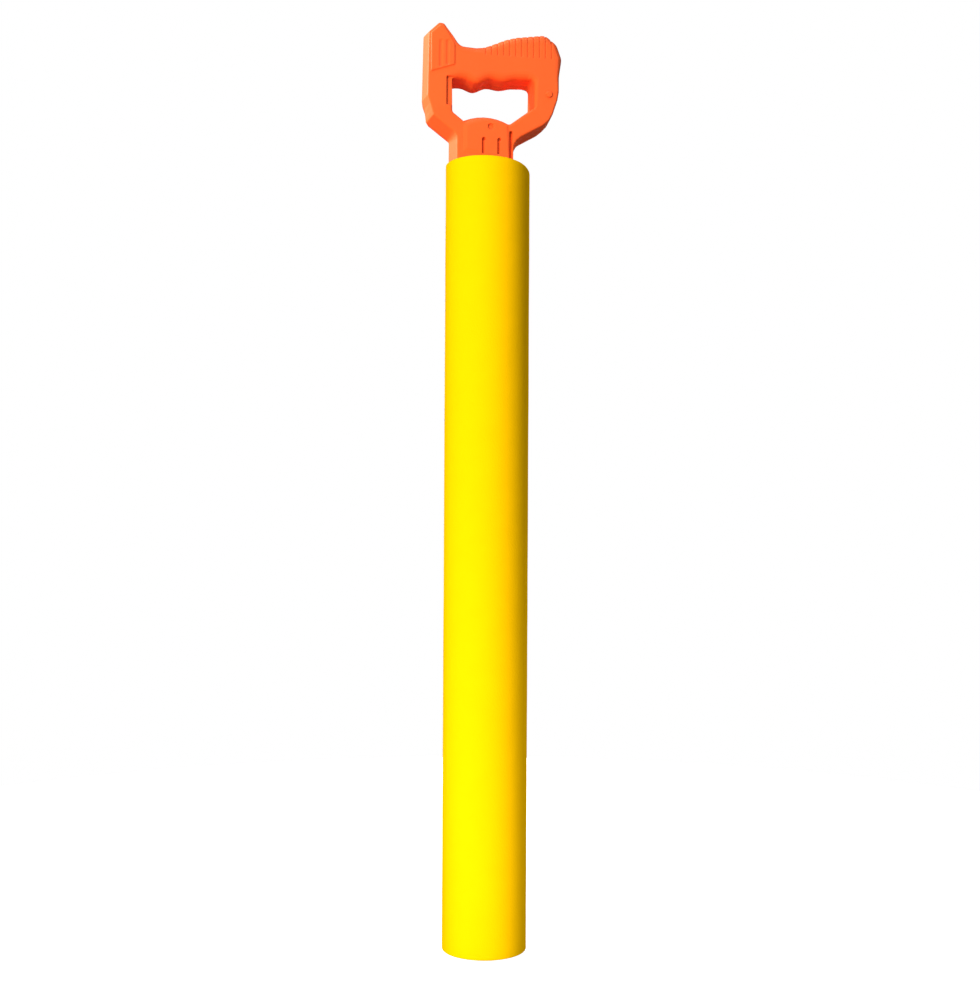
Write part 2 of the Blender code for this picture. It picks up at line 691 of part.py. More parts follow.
def horn_pad(half, side):
    """Raise the field on the horn and cut its soft upright flutes."""
    root = HALF_THICKNESS - HANDLE_WALL / 2
    face = HALF_THICKNESS + PAD_RISE
    boolean(half, object_from(half_solid([pad_corners()], face, side, -root), "pad"), "UNION")
    for x in FLUTES:
        bm = bmesh.new()
        low = pad_edge(x) + FLUTE_MARGIN
        length = FLUTE_HIGH - low
        place = Matrix.Translation((x, side * (face - FLUTE_DEPTH + FLUTE_RADIUS), low + length / 2))
        bmesh.ops.create_cone(
            bm, cap_ends=True, segments=SMALL_SEGMENTS, radius1=FLUTE_RADIUS, radius2=FLUTE_RADIUS,
            depth=length, matrix=place)
        boolean(half, object_from(bm, "flute"), "DIFFERENCE")


def socket_windows(half, side):
    """Sink the two upright slots, each with a round eye on top, into the socket's face."""
    for sign in (-1, 1):
        x = sign * WINDOW_SPREAD / 2
        low = (x - WINDOW_WIDTH / 2, WINDOW_LOW)
        high = (x + WINDOW_WIDTH / 2, WINDOW_HIGH)
        face_cut(half, side, low, high, WINDOW_DEPTH, SOCKET_HALF)
        eye_floor = SOCKET_HALF - WINDOW_EYE_DEPTH
        eye_place = (x + WINDOW_EYE_SHIFT, WINDOW_HIGH)
        eye = bar_between(WINDOW_EYE / 2, eye_floor, SOCKET_HALF + PAST, side, eye_place)
        boolean(half, eye, "DIFFERENCE")


def surface_forms(half, side):
    horn_pad(half, side)
    grip_grooves(half, side)
    ledge_low = (OPENING_LEFT - LEDGE_WIDTH, LEDGE_LOW)
    face_cut(half, side, ledge_low, (OPENING_LEFT + PAST, LEDGE_HIGH), LEDGE_DEPTH, HALF_THICKNESS)
    step_high = (SOCKET_RIGHT + SOCKET_STEP_WIDTH, SOCKET_TOP - SOCKET_CROWN * 2)
    face_cut(half, side, (SOCKET_RIGHT - SEAT_GAP, -PAST), step_high, SOCKET_STEP_DEPTH, HALF_THICKNESS)
    socket_windows(half, side)


def rod_socket(half, side):
    """Join the socket block and its spigot, then bore them for the rod and its pin."""
    socket = half_solid([socket_corners()], SOCKET_HALF, side, JOIN_PAST)
    boolean(half, object_from(socket, "socket"), "UNION")
    height = SPIGOT_LENGTH + SPIGOT_ROOT
    profile = [(0, 0), (SPIGOT_DIAMETER / 2, 0), (SPIGOT_DIAMETER / 2, height), (0, height)]
    spigot = object_from(turned_mesh(profile, ROUND_SEGMENTS), "spigot", None, (0, 0, -SPIGOT_LENGTH))
    boolean(spigot, other_side(side, CUT_PAST), "DIFFERENCE")
    boolean(half, spigot, "UNION")
    depth = SPIGOT_LENGTH + PAST + SOCKET_DEPTH + SEAT_GAP
    bore = [(0, 0), (SOCKET_RADIUS, 0), (SOCKET_RADIUS, depth), (0, depth)]
    place = (0, 0, -SPIGOT_LENGTH - PAST)
    boolean(half, object_from(turned_mesh(bore, ROUND_SEGMENTS), "bore", None, place), "DIFFERENCE")
    pocket = SOCKET_HALF - PIN_COVER
    pin_hole = bar_between(PIN_RADIUS + SEAT_GAP, -CUT_PAST, pocket, side, (0, ROD_PIN_HEIGHT))
    boolean(half, pin_hole, "DIFFERENCE")


def screw_holes(half, side):
    """Bosses and holes: counterbored in the rear half, blind in the front half under a dimple or a pip."""
    hole = SCREW_SHANK / 2 + SEAT_GAP
    head = SCREW_HEAD / 2 + SEAT_GAP
    floor = HALF_THICKNESS - HANDLE_WALL / 2
    for name, place in SCREW_PLACES.items():
        if name != "socket_screw":
            boolean(half, bar_between(BOSS_DIAMETER / 2, -JOIN_PAST, floor, side, place), "UNION")
        if side > 0:
            boolean(half, bar_between(hole, -CUT_PAST, SCREW_SEAT + PAST, side, place), "DIFFERENCE")
            boolean(half, bar_between(head, SCREW_SEAT, SOCKET_HALF + PAST, side, place), "DIFFERENCE")
            continue
        boolean(half, bar_between(hole, -CUT_PAST, SCREW_REACH + SEAT_GAP, side, place), "DIFFERENCE")
        if name == "socket_screw":
            floor_of_dimple = SOCKET_HALF - DIMPLE_DEPTH
            dimple = bar_between(DIMPLE_DIAMETER / 2, floor_of_dimple, SOCKET_HALF + PAST, side, place)
            boolean(half, dimple, "DIFFERENCE")
        if name == "right_post_screw":
            pip = bar_between(PIP_DIAMETER / 2, floor, HALF_THICKNESS + PIP_RISE, side, place)
            boolean(half, pip, "UNION")


def handle_half(name, side, parent, material):
    shell = half_solid([handle_corners(), opening_corners()], HALF_THICKNESS, side, PAST, True)
    half = object_from(shell, name, parent)
    boolean(half, block((-CUT_REACH, -CUT_REACH, -CUT_REACH), (CUT_REACH, CUT_REACH, 0)), "DIFFERENCE")
    rod_socket(half, side)
    screw_holes(half, side)
    surface_forms(half, side)
    boolean(half, other_side(side, -SPLIT_GAP / 2), "DIFFERENCE")
    half.data.materials.clear()
    half.data.materials.append(material)
    half.location = (0, 0, HANDLE_BASE)
    shade(half)


def handle_screws(parent, material):
    """Equal pan-head screws: heads sunk in the rear half, shanks into the front half."""
    length = SCREW_REACH + SCREW_SEAT + SEAT_GAP
    profile = [
        (0, 0),
        (SCREW_SHANK / 2, SCREW_SHANK / 2),
        (SCREW_SHANK / 2, length),
        (SCREW_HEAD / 2, length),
        (SCREW_HEAD / 2, length + SCREW_HEAD_HEIGHT / 2),
        (SCREW_HEAD / 3, length + SCREW_HEAD_HEIGHT),
        (0, length + SCREW_HEAD_HEIGHT),
    ]
    for name, (x, z) in SCREW_PLACES.items():
        place = (x, -SCREW_REACH, HANDLE_BASE + z)
        screw = object_from(turned_mesh(profile, SMALL_SEGMENTS), name, parent, place, material)
        screw.rotation_euler = (-math.pi / 2, 0, 0)
        shade(screw)


def build():
    clear_scene()
    yellow_foam = plain_material("yellow_foam", (0.95, 0.80, 0.01), 0.85)
    orange = plain_material("orange_plastic", (0.95, 0.15, 0.03), 0.40)
    white = plain_material("white_plastic", (0.80, 0.80, 0.78), 0.35)
    grey = plain_material("grey_plastic", (0.22, 0.23, 0.25), 0.45)
    rubber = plain_material("black_rubber", (0.02, 0.02, 0.02), 0.70)
    steel = plain_material("steel", (0.60, 0.60, 0.62), 0.30, 1.0)

    barrel = empty("barrel")
    seal = empty("piston_seal", barrel)
    plunger = empty("plunger", seal)

    foam_sleeve(barrel, yellow_foam)
    barrel_tube(barrel, white)
    nozzle(barrel, orange, rubber)
    rear_collar(barrel, grey)

    piston_pin_height = PISTON_FOOT + PISTON_LENGTH + PISTON_STEM / 2
    rod_pin_height = HANDLE_BASE + ROD_PIN_HEIGHT
    piston(plunger, seal, grey, rubber)
    plunger_rod(plunger, white, (piston_pin_height, rod_pin_height))
    cross_pin("piston_pin", ROD_RADIUS, piston_pin_height, plunger, steel)
    cross_pin("rod_pin", SOCKET_HALF - PIN_COVER - SEAT_GAP, rod_pin_height, plunger, steel)

    handle_half("handle_front_half", -1, plunger, orange)
    handle_half("handle_rear_half", 1, plunger, orange)
    handle_screws(plunger, steel)


build()
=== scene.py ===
"""Looks of the water squirter: soft foam sleeve, satin orange handle, smooth inner pieces, white studio."""

import math

import bmesh
import bpy
from mathutils import Matrix, Vector, noise

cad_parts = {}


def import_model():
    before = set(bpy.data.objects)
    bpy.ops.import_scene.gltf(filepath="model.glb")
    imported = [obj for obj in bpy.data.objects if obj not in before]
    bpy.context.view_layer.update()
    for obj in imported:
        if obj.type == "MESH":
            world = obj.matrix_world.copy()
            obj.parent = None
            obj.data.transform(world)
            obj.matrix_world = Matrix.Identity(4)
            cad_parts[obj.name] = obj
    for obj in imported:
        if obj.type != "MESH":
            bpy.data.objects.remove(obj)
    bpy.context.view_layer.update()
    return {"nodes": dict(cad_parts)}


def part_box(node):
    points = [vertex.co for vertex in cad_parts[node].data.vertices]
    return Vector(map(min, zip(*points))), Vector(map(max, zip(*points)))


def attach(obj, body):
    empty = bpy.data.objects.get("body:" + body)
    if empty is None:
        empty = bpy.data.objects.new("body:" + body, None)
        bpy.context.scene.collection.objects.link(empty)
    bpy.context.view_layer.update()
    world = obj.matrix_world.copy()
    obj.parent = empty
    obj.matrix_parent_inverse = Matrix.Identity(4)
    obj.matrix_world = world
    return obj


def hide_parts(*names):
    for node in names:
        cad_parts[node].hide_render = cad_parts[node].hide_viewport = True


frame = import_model()

# Camera, fitted to the photograph's 980 x 981 frame
IMAGE_WIDTH = 980
PIXEL_SIZE = 0.6545e-3               # metres on the object for one pixel, at the barrel's axis
CAMERA_DISTANCE = 0.8595
CAMERA_YAW = math.radians(10.0)      # the camera stands to the left of the handle's face
CAMERA_PITCH = math.radians(2.2)
CAMERA_ROLL = math.radians(0.29)
CAMERA_AIM_HEIGHT = 0.2957
CAMERA_AIM_OFFSET = 4.35 * PIXEL_SIZE
SENSOR_WIDTH = 36.0                  # millimetres

# Studio: azimuth from the front (-Y) round to the left (-X), in degrees
FLOOR_RADIUS = 0.75
FLOOR_SEGMENTS = 96
FLOOR_DROP = 0.0004                  # below the foot, so that the two share no plane
WORLD_LIGHT = 0.18                   # soft light from all round
WORLD_GLOSS = 0.03                   # the same as a glossy surface mirrors it
RIM_AIM = Vector((0, 0, 0.005))
FOOT_AIM = Vector((0, 0, 0.06))
BARREL_AIM = Vector((0, 0, 0.22))
HANDLE_AIM = Vector((-0.040, 0, 0.568))
KEY = dict(aim=BARREL_AIM, azimuth=40.5, elevation=16, distance=1.15, size=0.6, power=18)
LIGHTS = {
    "key_light": KEY,
    "key_panel": KEY,                # the key light as gloss mirrors it, but not on the handle
    "fill_light": dict(aim=BARREL_AIM, azimuth=-45, elevation=30, distance=1.5, size=1.0, power=1.5),
    "top_light": dict(aim=BARREL_AIM, azimuth=20, elevation=75, distance=1.4, size=0.7, power=4),
    "left_foot_light": dict(aim=FOOT_AIM, azimuth=38, elevation=0, distance=0.3, size=0.25, power=0.56),
    "right_foot_light": dict(aim=FOOT_AIM, azimuth=-62, elevation=8, distance=0.3, size=0.25, power=0.19),
    "rim_light": dict(aim=RIM_AIM, azimuth=0, elevation=12, distance=0.14, size=0.08, power=0.026),
    "edge_light": dict(aim=HANDLE_AIM, azimuth=103, elevation=28, distance=0.6, size=0.2, power=6.8),
    "bounce_light": dict(aim=HANDLE_AIM, azimuth=60, elevation=-50, distance=0.5, size=0.3, power=0.9),
    "back_light": dict(aim=BARREL_AIM, azimuth=206, elevation=20, distance=1.3, size=0.8, power=15),
    "back_panel": dict(aim=HANDLE_AIM, azimuth=138, elevation=10, distance=1.0, size=0.5, power=0.5),
}
MIRRORED_ONLY = ("back_panel", "key_panel")                   # show in gloss and light nothing else
NOT_MIRRORED = ("back_light", "key_light", "bounce_light")    # light the pieces, but show in no gloss
WHITE = (1, 1, 1)
LIGHT_COLOURS = {"bounce_light": (1.0, 0.18, 0.05)}           # as orange plastic throws it back

# Foam sleeve
FOAM_BORE_GAP = 0.0003               # between the foam and the barrel tube
FOAM_SEGMENTS = 144
FOAM_WALL_RINGS = 126
FOAM_END_RINGS = 6
FOAM_BORE_RINGS = 30
FOAM_ROUNDING_STEPS = 6
FOAM_FOOT_ROUNDING = 0.0007
FOAM_BORE_ROUNDING = 0.0010
FOAM_TOP_ROUNDING_LEFT = 0.0008      # the upper end has a crisp edge on the left and a worn one on the right
FOAM_TOP_ROUNDING_RIGHT = 0.0045
FOAM_TOP_FALL = 0.0020               # the upper end is cut a little lower on the right
FOAM_END_REACH = 0.1                 # share of the length that follows an uneven end
FOAM_PUFF_FOOT = 0.0002              # the soft wall stands out, more so towards the upper end
FOAM_PUFF_TOP = 0.0007
FOAM_SHIFT = 0.0003                  # the sleeve hangs a little to the right
FOAM_SWELL = 0.00008                 # slow unevenness of the outer wall
FOAM_SWELL_SCALE = 28.0
FOAM_END_WAVE = 0.0003               # unevenness of the cut ends
FOAM_END_SCALE = 45.0

# Moulded handle
HANDLE_VOXEL = 0.00030
HANDLE_SMOOTHING = 2
HANDLE_SMOOTHING_FACTOR = 0.5
HANDLE_SHARE = 0.3                   # share of the fine triangles that is kept
SPLIT_REACH = 0.0004                 # faces this close to the split are drawn together
SPLIT_GAP = 0.00004
CLOSED_REACH = 0.00012               # and once more after the softening, until nothing shows through
CLOSED_GAP = 0.000004
PAINTED_SHADE_REACH = 0.0016                # painted shade: hollows narrower than this are darkened in colour

# Inner pieces
WELD_DISTANCE = 1e-6
SHARP_ANGLE = math.radians(35)
EDGE_BREAK = 0.0003                  # small rounding on turned edges
EDGE_BREAK_STEPS = 2
SCREW_SLOT_LENGTH = 0.62             # cross recess, as shares of the screw head's width
SCREW_SLOT_WIDTH = 0.18
SCREW_SLOT_DEPTH = 0.0010


# Mesh helpers

def link(piece):
    bpy.context.scene.collection.objects.link(piece)
    return piece


def piece_from(bm, name):
    """A smooth-shaded object from a bmesh, with its normals outside."""
    bmesh.ops.recalc_face_normals(bm, faces=bm.faces)
    mesh = bpy.data.meshes.new(name)
    bm.to_mesh(mesh)
    bm.free()
    mesh.shade_smooth()
    return link(bpy.data.objects.new(name, mesh))


def welded_copy(node, name):
    """A copy of a node's mesh with its triangles joined at their corners."""
    bm = bmesh.new()
    bm.from_mesh(frame["nodes"][node].data)
    bmesh.ops.remove_doubles(bm, verts=bm.verts, dist=WELD_DISTANCE)
    return piece_from(bm, name)


def apply_modifiers(piece):
    """Keep the shape that the modifiers make, and drop them."""
    depsgraph = bpy.context.evaluated_depsgraph_get()
    mesh = bpy.data.meshes.new_from_object(piece.evaluated_get(depsgraph))
    piece.modifiers.clear()
    piece.data = mesh
    mesh.name = piece.name


def dress(piece, body, node, material):
    """Let a piece stand for a node: material, slot, and the body that carries it."""
    piece.data.materials.clear()
    piece.data.materials.append(material)
    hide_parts(node)
    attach(piece, body)


# Material helpers

def new_material(name):
    material = bpy.data.materials.new(name)
    material.use_nodes = True
    return material, material.node_tree, material.node_tree.nodes["Principled BSDF"]


def add_node(tree, kind, **values):
    """A shader node with some of its properties and inputs set by name."""
    made = tree.nodes.new(kind)
    for key, value in values.items():
        if hasattr(made, key):
            setattr(made, key, value)
        else:
            made.inputs[key.replace("_", " ")].default_value = value
    return made


def object_position(tree, stretch=(1, 1, 1)):
    """The piece's own coordinates in metres, stretched along its axes."""
    place = add_node(tree, "ShaderNodeTexCoord")
    scaled = add_node(tree, "ShaderNodeMapping", Scale=stretch)
    tree.links.new(place.outputs["Object"], scaled.inputs["Vector"])
    return scaled.outputs["Vector"]


def noise_at(tree, position, scale, detail=3.0):
    texture = add_node(tree, "ShaderNodeTexNoise", Scale=scale, Detail=detail)
    tree.links.new(position, texture.inputs["Vector"])
    return texture.outputs["Fac"]


def ramp(tree, factor, stops):
    """A colour ramp from (position, colour) stops."""
    made = add_node(tree, "ShaderNodeValToRGB")
    elements = made.color_ramp.elements
    while len(elements) < len(stops):
        elements.new(0.5)
    for element, (position, colour) in zip(elements, stops):
        element.position = position
        element.color = (*colour, 1.0)
    tree.links.new(factor, made.inputs["Fac"])
    return made.outputs["Color"]


def spread(tree, factor, low, high, start=0.3, end=0.7):
    """Map a factor's middle range to the values low to high."""
    made = add_node(tree, "ShaderNodeMapRange")
    for key, value in (("From Min", start), ("From Max", end), ("To Min", low), ("To Max", high)):
        made.inputs[key].default_value = value
    tree.links.new(factor, made.inputs["Value"])
    return made.outputs["Result"]


def bump(tree, height, distance, strength, below=None):
    """A bump of a real height in metres, on top of another bump if one is given."""
    made = add_node(tree, "ShaderNodeBump", Distance=distance, Strength=strength)
    tree.links.new(height, made.inputs["Height"])
    if below is not None:
        tree.links.new(below, made.inputs["Normal"])
    return made.outputs["Normal"]


def shade_of(colour, share):
    return tuple(channel * share for channel in colour)


# Materials

def foam_material():
    """Closed-cell foam: fine cells, soft mottling and a matt skin."""
    colour = (0.92, 0.50, 0.0006)
    material, tree, shader = new_material("yellow_foam_skin")
    position = object_position(tree)
    mottle = noise_at(tree, position, scale=90.0, detail=4.0)
    stops = [(0.30, shade_of(colour, 0.985)), (0.55, colour), (0.75, shade_of(colour, 1.01))]
    tree.links.new(ramp(tree, mottle, stops), shader.inputs["Base Color"])
    skin = noise_at(tree, position, scale=700.0)
    tree.links.new(spread(tree, skin, low=0.80, high=0.95), shader.inputs["Roughness"])
    cells = add_node(tree, "ShaderNodeTexVoronoi", Scale=950.0, feature="SMOOTH_F1", Smoothness=0.4)
    tree.links.new(position, cells.inputs["Vector"])
    fine = bump(tree, cells.outputs["Distance"], distance=0.00025, strength=0.35)
    coarse = noise_at(tree, position, scale=160.0, detail=2.0)
    uneven = bump(tree, coarse, distance=0.0006, strength=0.05, below=fine)
    tree.links.new(uneven, shader.inputs["Normal"])
    shader.inputs["Specular IOR Level"].default_value = 0.0
    return material


def orange_material():
    """Moulded orange plastic: satin skin, faint flow marks, and painted shade that darkens the colour in
    grooves and slots.
    """
    colour = (0.96, 0.116, 0.018)
    material, tree, shader = new_material("orange_plastic_skin")
    position = object_position(tree)
    flow = noise_at(tree, position, scale=35.0, detail=4.0)
    stops = [(0.30, shade_of(colour, 0.94)), (0.60, colour), (0.80, shade_of(colour, 1.03))]
    body = ramp(tree, flow, stops)
    # painted shade: ambient occlusion darkens the base colour in grooves, slots and inner corners
    painted_shade_occlusion = add_node(tree, "ShaderNodeAmbientOcclusion", samples=8, only_local=True, Distance=PAINTED_SHADE_REACH)
    painted_shade_stops = [(0.42, (0.30, 0.12, 0.10)), (0.96, (1, 1, 1))]
    colour_with_painted_shade = add_node(tree, "ShaderNodeMix", data_type="RGBA", blend_type="MULTIPLY")
    colour_with_painted_shade.inputs["Factor"].default_value = 1.0
    tree.links.new(body, colour_with_painted_shade.inputs["A"])
    tree.links.new(ramp(tree, painted_shade_occlusion.outputs["AO"], painted_shade_stops), colour_with_painted_shade.inputs["B"])
    tree.links.new(colour_with_painted_shade.outputs["Result"], shader.inputs["Base Color"])
    skin = noise_at(tree, position, scale=420.0)
    tree.links.new(spread(tree, skin, low=0.54, high=0.64), shader.inputs["Roughness"])
    shader.inputs["Specular IOR Level"].default_value = 0.42
    grain = noise_at(tree, position, scale=2600.0, detail=2.0)
    sink = noise_at(tree, position, scale=110.0, detail=1.0)
    fine = bump(tree, grain, distance=0.00005, strength=0.25)
    uneven = bump(tree, sink, distance=0.0004, strength=0.10, below=fine)
    tree.links.new(uneven, shader.inputs["Normal"])
    return material


def white_material():
    """Extruded white tube: faint lines along its length."""
    material, tree, shader = new_material("white_plastic_skin")
    position = object_position(tree, stretch=(600.0, 600.0, 4.0))
    lines = noise_at(tree, position, scale=1.0)
    stops = [(0.30, (0.47, 0.47, 0.46)), (0.70, (0.55, 0.55, 0.54))]
    tree.links.new(ramp(tree, lines, stops), shader.inputs["Base Color"])
    tree.links.new(spread(tree, lines, low=0.28, high=0.38), shader.inputs["Roughness"])
    tree.links.new(bump(tree, lines, distance=0.00004, strength=0.3), shader.inputs["Normal"])
    return material


def grey_material():
    """Dark grey moulded plastic with a spark-eroded grain."""
    material, tree, shader = new_material("grey_plastic_skin")
    position = object_position(tree)
    grain = noise_at(tree, position, scale=1500.0, detail=2.0)
    mottle = noise_at(tree, position, scale=120.0)
    stops = [(0.30, (0.045, 0.047, 0.052)), (0.70, (0.065, 0.067, 0.072))]
    tree.links.new(ramp(tree, mottle, stops), shader.inputs["Base Color"])
    tree.links.new(spread(tree, grain, low=0.45, high=0.6), shader.inputs["Roughness"])
    tree.links.new(bump(tree, grain, distance=0.00006, strength=0.4), shader.inputs["Normal"])
    return material


def rubber_material():
    """Black rubber with a dull bloom."""
    material, tree, shader = new_material("black_rubber_skin")
    bloom = noise_at(tree, object_position(tree), scale=300.0)
    stops = [(0.35, (0.012, 0.012, 0.012)), (0.75, (0.03, 0.03, 0.03))]
    tree.links.new(ramp(tree, bloom, stops), shader.inputs["Base Color"])
    tree.links.new(spread(tree, bloom, low=0.5, high=0.75), shader.inputs["Roughness"])
    return material


def steel_material():
    """Zinc-plated steel with fine turning marks."""
    material, tree, shader = new_material("plated_steel_skin")
    position = object_position(tree, stretch=(900.0, 5000.0, 900.0))
    marks = noise_at(tree, position, scale=1.0, detail=2.0)
    stops = [(0.30, (0.50, 0.50, 0.53)), (0.70, (0.66, 0.66, 0.68))]
    tree.links.new(ramp(tree, marks, stops), shader.inputs["Base Color"])
    tree.links.new(spread(tree, marks, low=0.24, high=0.42), shader.inputs["Roughness"])
    shader.inputs["Metallic"].default_value = 1.0
    return material


# Foam sleeve

def quarter(centre, radius, start, steps):
    """Points of a quarter circle, turning left from a start angle in degrees."""
    points = []
    for step in range(steps + 1):
        angle = math.radians(start + 90 * step / steps)
        points.append((centre[0] + radius * math.cos(angle), centre[1] + radius * math.sin(angle)))
    return points


def run(start, end, count):
    """Points between two profile points, without the points themselves."""
    return [
        (start[0] + (end[0] - start[0]) * part / count, start[1] + (end[1] - start[1]) * part / count)
        for part in range(1, count)]


def corner(radius, height, rounding, start):
    """A rounded corner of the section, where two walls would meet at a radius and a height."""
    inward = {0: (-1, -1), 90: (1, -1), 180: (1, 1), 270: (-1, 1)}[start]
    centre = (radius + inward[0] * rounding, height + inward[1] * rounding)
    return quarter(centre, rounding, start, FOAM_ROUNDING_STEPS)


def foam_profile(bore, radius, length, top_rounding):
    """The sleeve's section as radius and height: foot, outer wall, upper end and bore, once round."""
    foot = corner(radius, 0, FOAM_FOOT_ROUNDING, 270)
    top = corner(radius, length, top_rounding, 0)
    inner_top = corner(bore, length, FOAM_BORE_ROUNDING, 90)
    inner_foot = corner(bore, 0, FOAM_BORE_ROUNDING, 180)
    return [
        *foot, *run(foot[-1], top[0], FOAM_WALL_RINGS),
        *top, *run(top[-1], inner_top[0], FOAM_END_RINGS),
        *inner_top, *run(inner_top[-1], inner_foot[0], FOAM_BORE_RINGS),
        *inner_foot, *run(inner_foot[-1], foot[0], FOAM_END_RINGS)]


def foam_section(around, bore, outside, length):
    """The sleeve's points on one side, with the slow unevenness of foam and the upper end cut askew."""
    right = max(0, around.x) ** 2
    rounding = FOAM_TOP_ROUNDING_LEFT + (FOAM_TOP_ROUNDING_RIGHT - FOAM_TOP_ROUNDING_LEFT) * right
    points = []
    for radius, height in foam_profile(bore, outside, length, rounding):
        share = (radius - bore) / (outside - bore)
        rise = height / length
        seed = around * outside + Vector((0, 0, height))
        puff = FOAM_PUFF_FOOT + (FOAM_PUFF_TOP - FOAM_PUFF_FOOT) * rise
        swell = FOAM_SWELL * noise.noise(seed * FOAM_SWELL_SCALE)
        wave = FOAM_END_WAVE * (1 + noise.noise(seed * FOAM_END_SCALE)) / 2
        near_top = max(0, 1 - (1 - rise) / FOAM_END_REACH)
        near_foot = max(0, 1 - rise / FOAM_END_REACH)
        fall = (wave + FOAM_TOP_FALL * (1 + around.x) ** 2 / 4) * near_top ** 2
        lift = wave * near_foot ** 2
        point = around * (radius + (puff + swell) * share)
        point.x += FOAM_SHIFT * share
        point.z = height + (lift - fall) * share
        points.append(point)
    return points


def foam_sleeve():
    """The foam tube as a closed skin, turned section by section."""
    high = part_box("foam_sleeve")[1]
    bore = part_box("barrel_tube")[1].x + FOAM_BORE_GAP
    bm = bmesh.new()
    sections = []
    for segment in range(FOAM_SEGMENTS):
        angle = 2 * math.pi * segment / FOAM_SEGMENTS
        around = Vector((math.cos(angle), math.sin(angle), 0))
        sections.append([bm.verts.new(point) for point in foam_section(around, bore, high.x, high.z)])
    for section, following in zip(sections, sections[1:] + sections[:1]):
        for index in range(len(section)):
            after = (index + 1) % len(section)
            bm.faces.new((section[index], following[index], following[after], section[after]))
    piece = piece_from(bm, "foam_sleeve_skin")
    dress(piece, "barrel", "foam_sleeve", foam_material())
    return piece


# Handle

def close_split(piece, side, reach, gap):
    """Draw the faces at the handle's split together, so that only a fine line shows."""
    for vert in piece.data.vertices:
        if vert.co.y * side < reach:
            vert.co.y = gap * side


def handle_half(node, side, material):
    """The moulded half on one side of the split, with all its edges softened as a mould leaves them."""
    piece = welded_copy(node, node + "_skin")
    close_split(piece, side, SPLIT_REACH, SPLIT_GAP)
    remesh = piece.modifiers.new("Remesh", "REMESH")
    remesh.mode = "VOXEL"
    remesh.voxel_size = HANDLE_VOXEL
    remesh.use_smooth_shade = True
    smooth = piece.modifiers.new("Smooth", "SMOOTH")
    smooth.factor = HANDLE_SMOOTHING_FACTOR
    smooth.iterations = HANDLE_SMOOTHING
    thin = piece.modifiers.new("Thin", "DECIMATE")
    thin.ratio = HANDLE_SHARE
    apply_modifiers(piece)
    close_split(piece, side, CLOSED_REACH, CLOSED_GAP)
    piece.data.shade_smooth()
    dress(piece, "plunger", node, material)
    return piece


# Inner pieces

def break_edges(piece):
    """Round the piece's true edges a little and shade it smooth between them."""
    rounding = piece.modifiers.new("Rounding", "BEVEL")
    rounding.width = EDGE_BREAK
    rounding.segments = EDGE_BREAK_STEPS
    rounding.limit_method = "ANGLE"
    rounding.angle_limit = SHARP_ANGLE
    apply_modifiers(piece)
    piece.data.shade_smooth()
    piece.data.set_sharp_from_angle(angle=SHARP_ANGLE)


def turned_piece(node, body, material):
    """A piece as the node has it, with its edges broken."""
    piece = welded_copy(node, node + "_skin")
    break_edges(piece)
    dress(piece, body, node, material)


def cut_slot(piece, centre, size):
    """Cut a straight slot, given by its middle and its size along the axes."""
    bm = bmesh.new()
    bmesh.ops.create_cube(bm, size=1, matrix=Matrix.Translation(centre) @ Matrix.Diagonal(size).to_4x4())
    cutter = piece_from(bm, "slot_cutter")
    piece.modifiers.new("Slot", "BOOLEAN").object = cutter
    apply_modifiers(piece)
    bpy.data.objects.remove(cutter)


def screw(node, material):
    """A screw with a cross recess in its head, which faces +Y."""
    piece = welded_copy(node, node + "_skin")
    break_edges(piece)
    low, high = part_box(node)
    centre = (low + high) / 2
    centre.y = high.y
    length = SCREW_SLOT_LENGTH * (high.x - low.x)
    width = SCREW_SLOT_WIDTH * (high.x - low.x)
    cut_slot(piece, centre, Vector((length, 2 * SCREW_SLOT_DEPTH, width)))
    cut_slot(piece, centre, Vector((width, 2 * SCREW_SLOT_DEPTH, length)))
    piece.data.set_sharp_from_angle(angle=SHARP_ANGLE)
    dress(piece, "plunger", node, material)


# Studio

def camera():
    """The photograph's camera, fitted to its frame."""
    up = Vector((0, 0, 1))
    right = Vector((math.cos(CAMERA_YAW), -math.sin(CAMERA_YAW), 0))
    level = Vector((math.sin(CAMERA_YAW), math.cos(CAMERA_YAW), 0))
    forward = level * math.cos(CAMERA_PITCH) + up * math.sin(CAMERA_PITCH)
    upward = up * math.cos(CAMERA_PITCH) - level * math.sin(CAMERA_PITCH)
    aim = Vector((0, 0, CAMERA_AIM_HEIGHT)) + right * CAMERA_AIM_OFFSET
    turn = Matrix((right, upward, -forward)).transposed().to_4x4()
    data = bpy.data.cameras.new("camera")
    data.sensor_fit = "HORIZONTAL"
    data.sensor_width = SENSOR_WIDTH
    data.lens = CAMERA_DISTANCE / PIXEL_SIZE / IMAGE_WIDTH * SENSOR_WIDTH
    made = link(bpy.data.objects.new("camera", data))
    made.matrix_world = (
        Matrix.Translation(aim - forward * CAMERA_DISTANCE) @ turn @ Matrix.Rotation(CAMERA_ROLL, 4, "Z"))
    bpy.context.scene.camera = made


def lights():
    """Round lamps that the camera itself doesn't see."""
    for name, values in LIGHTS.items():
        turn = Matrix.Rotation(math.radians(-values["azimuth"]), 3, "Z")
        tilt = Matrix.Rotation(math.radians(-values["elevation"]), 3, "X")
        away = turn @ tilt @ Vector((0, -1, 0))
        data = bpy.data.lights.new(name, "AREA")
        data.shape = "DISK"
        data.size = values["size"]
        data.energy = values["power"]
        data.color = LIGHT_COLOURS.get(name, WHITE)
        lamp = link(bpy.data.objects.new(name, data))
        lamp.location = values["aim"] + away * values["distance"]
        lamp.rotation_euler = away.to_track_quat("Z", "Y").to_euler()
        lamp.visible_camera = False
        lamp.visible_diffuse = name not in MIRRORED_ONLY
        lamp.visible_glossy = name not in NOT_MIRRORED


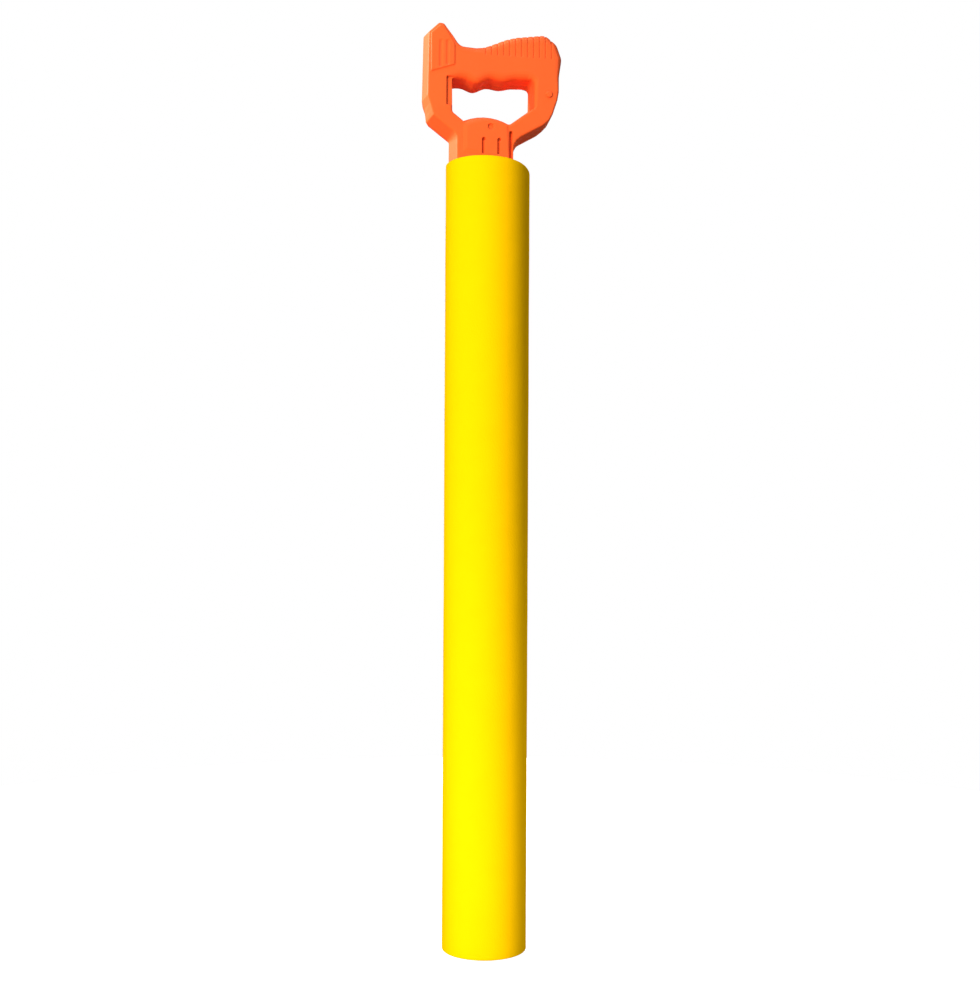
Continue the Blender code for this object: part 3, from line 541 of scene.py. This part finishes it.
def light_link(light, pieces, state="INCLUDE"):
    """Let a light reach only these pieces, or with EXCLUDE all but these."""
    linked = bpy.data.collections.new(light + "_pieces")
    for piece in pieces:
        linked.objects.link(piece)
    for member in linked.collection_objects:
        member.light_linking.link_state = state
    bpy.data.objects[light].light_linking.receiver_collection = linked


def floor():
    """A round pale floor that fades into the white surroundings."""
    bm = bmesh.new()
    bmesh.ops.create_circle(bm, cap_ends=True, segments=FLOOR_SEGMENTS, radius=FLOOR_RADIUS)
    for vert in bm.verts:
        vert.co.z = -FLOOR_DROP
    piece = piece_from(bm, "studio_floor")
    material, tree, shader = new_material("pale_floor")
    grain = noise_at(tree, object_position(tree), scale=6.0)
    stops = [(0.3, (0.80, 0.80, 0.80)), (0.7, (0.84, 0.84, 0.84))]
    tree.links.new(ramp(tree, grain, stops), shader.inputs["Base Color"])
    shader.inputs["Roughness"].default_value = 0.9
    shader.inputs["Emission Color"].default_value = (1, 1, 1, 1)
    shader.inputs["Emission Strength"].default_value = 1.0
    piece.data.materials.append(material)
    piece.visible_diffuse = False
    piece.visible_glossy = False


def world():
    """White to look at, but only a little light from all round."""
    made = bpy.data.worlds.new("studio")
    made.use_nodes = True
    tree = made.node_tree
    background = tree.nodes["Background"]
    background.inputs["Color"].default_value = (1, 1, 1, 1)
    path = add_node(tree, "ShaderNodeLightPath")
    seen = spread(tree, path.outputs["Is Camera Ray"], low=WORLD_LIGHT, high=1.0, start=0.0, end=1.0)
    dimming = WORLD_GLOSS - WORLD_LIGHT
    mirrored = spread(tree, path.outputs["Is Glossy Ray"], low=0.0, high=dimming, start=0.0, end=1.0)
    strength = add_node(tree, "ShaderNodeMath", operation="ADD")
    tree.links.new(seen, strength.inputs[0])
    tree.links.new(mirrored, strength.inputs[1])
    tree.links.new(strength.outputs["Value"], background.inputs["Strength"])
    bpy.context.scene.world = made
    bpy.context.scene.view_settings.view_transform = "Standard"


orange = orange_material()
white = white_material()
grey = grey_material()
rubber = rubber_material()
steel = steel_material()

camera()
lights()
floor()
world()
sleeve = foam_sleeve()
halves = [handle_half("handle_front_half", -1, orange), handle_half("handle_rear_half", 1, orange)]
for light in ("left_foot_light", "right_foot_light", "rim_light"):
    light_link(light, [sleeve])
for light in ("edge_light", "bounce_light"):
    light_link(light, halves)
light_link("key_panel", halves, "EXCLUDE")
turned_piece("barrel_tube", "barrel", white)
turned_piece("nozzle_plug", "barrel", orange)
turned_piece("nozzle_seal", "barrel", rubber)
turned_piece("rear_collar", "barrel", grey)
turned_piece("piston_ring_front", "piston_seal", rubber)
turned_piece("piston_ring_rear", "piston_seal", rubber)
turned_piece("piston_head", "plunger", grey)
turned_piece("plunger_rod", "plunger", white)
turned_piece("piston_pin", "plunger", steel)
turned_piece("rod_pin", "plunger", steel)
for node in ("socket_screw", "right_post_screw", "left_post_screw"):
    screw(node, steel)
